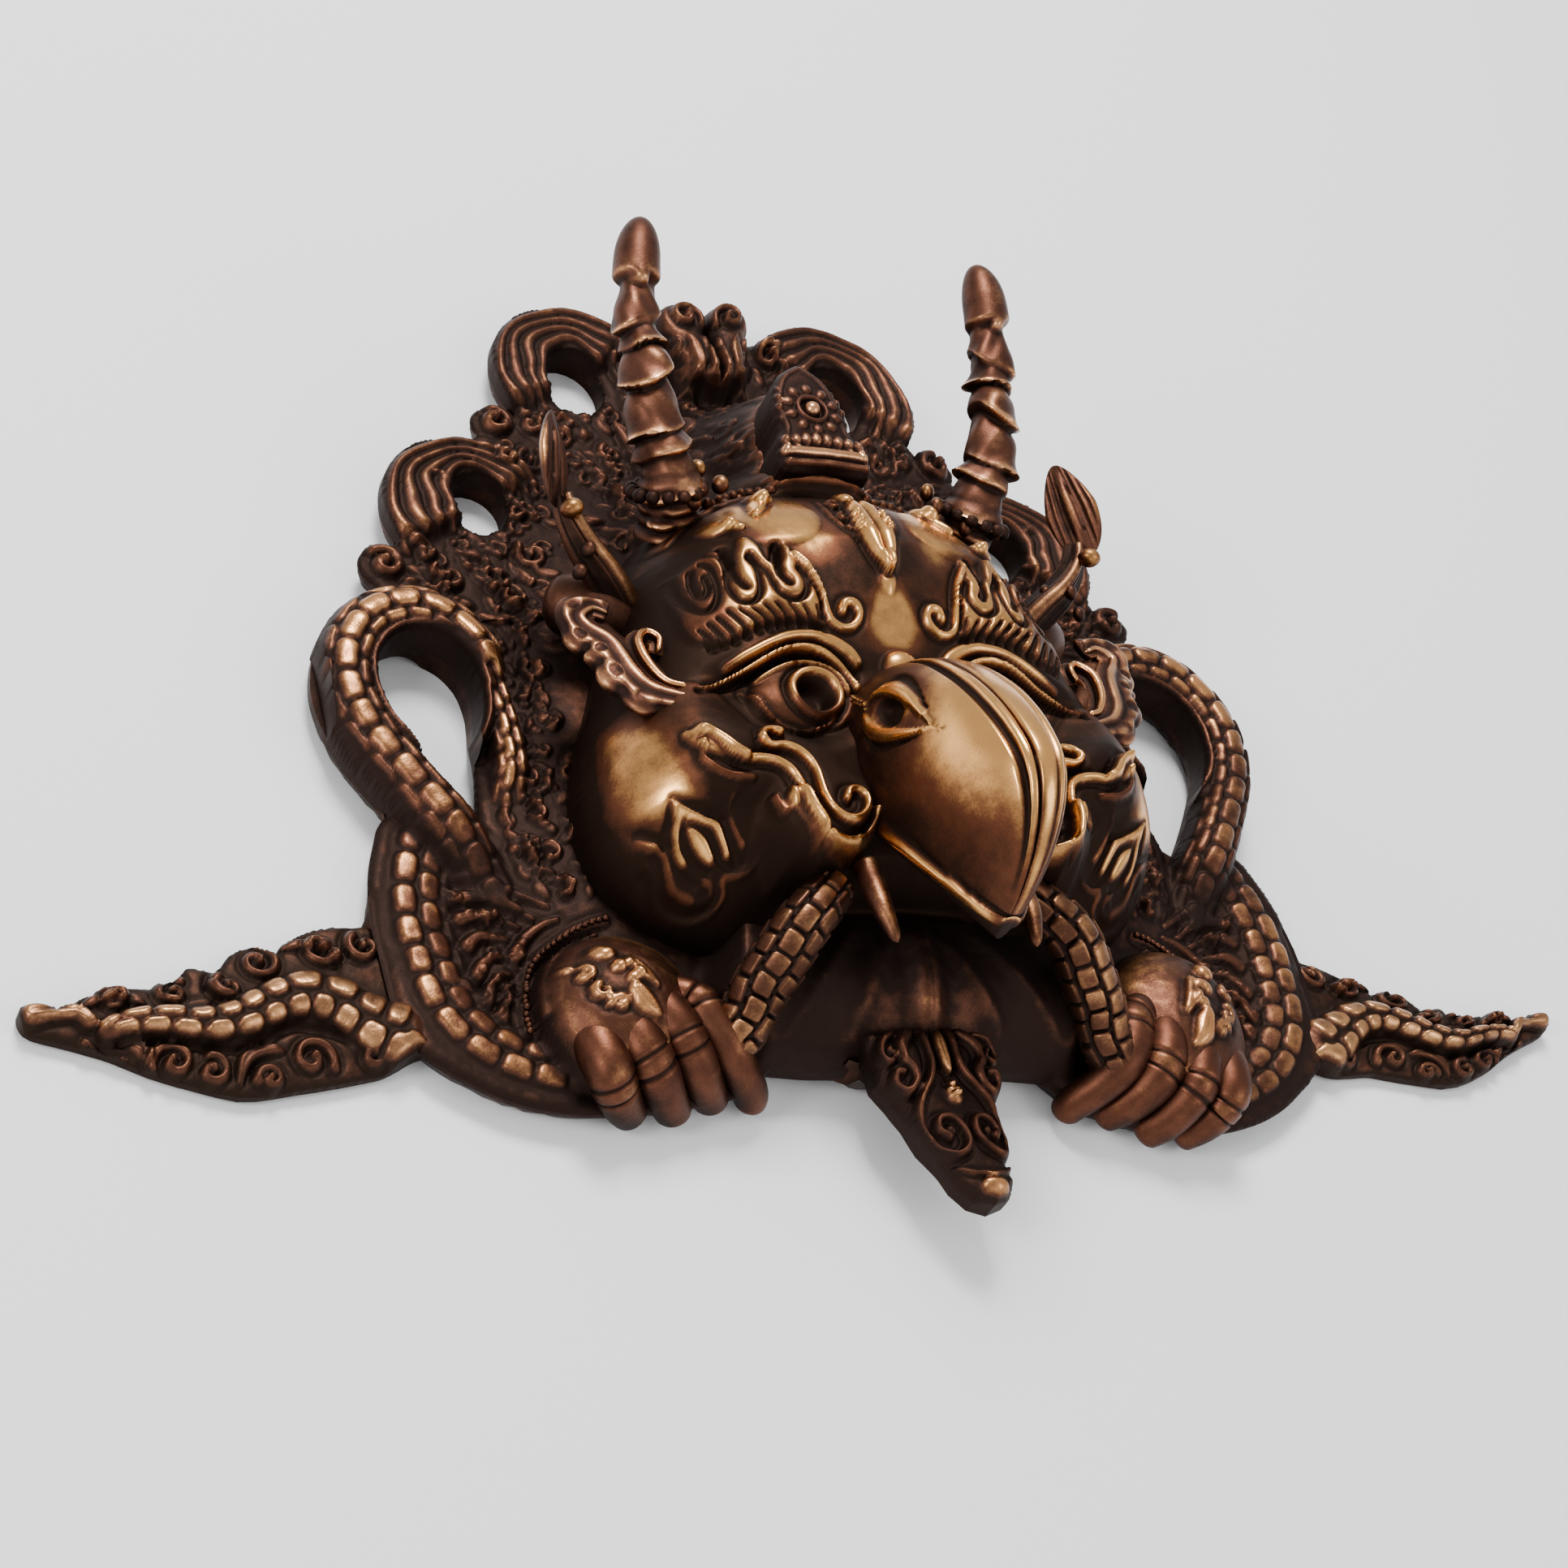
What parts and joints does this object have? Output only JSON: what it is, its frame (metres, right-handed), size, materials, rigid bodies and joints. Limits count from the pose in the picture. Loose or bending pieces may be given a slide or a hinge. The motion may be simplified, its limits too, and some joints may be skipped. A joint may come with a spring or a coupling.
{
  "type": "garuda mask",
  "caption": "Cast bronze garuda mask with hooked beak, horns, looped snakes and spread wings, lying on its flat back as a wall or table ornament.",
  "frame": {"origin": "centre of the bounding box in X and Y, on the flat back", "axes": "+X to the right as one faces the mask, +Y towards the top of the head, +Z out of the face"},
  "size_m": [0.4546, 0.3134, 0.1053],
  "materials": {
    "patinated_bronze": "dark brown patina in the hollows, rubbed to warm gold bronze on the high places"
  },
  "bodies": {
    "root": {"garuda_mask": "patinated_bronze"}
  },
  "joints": []
}
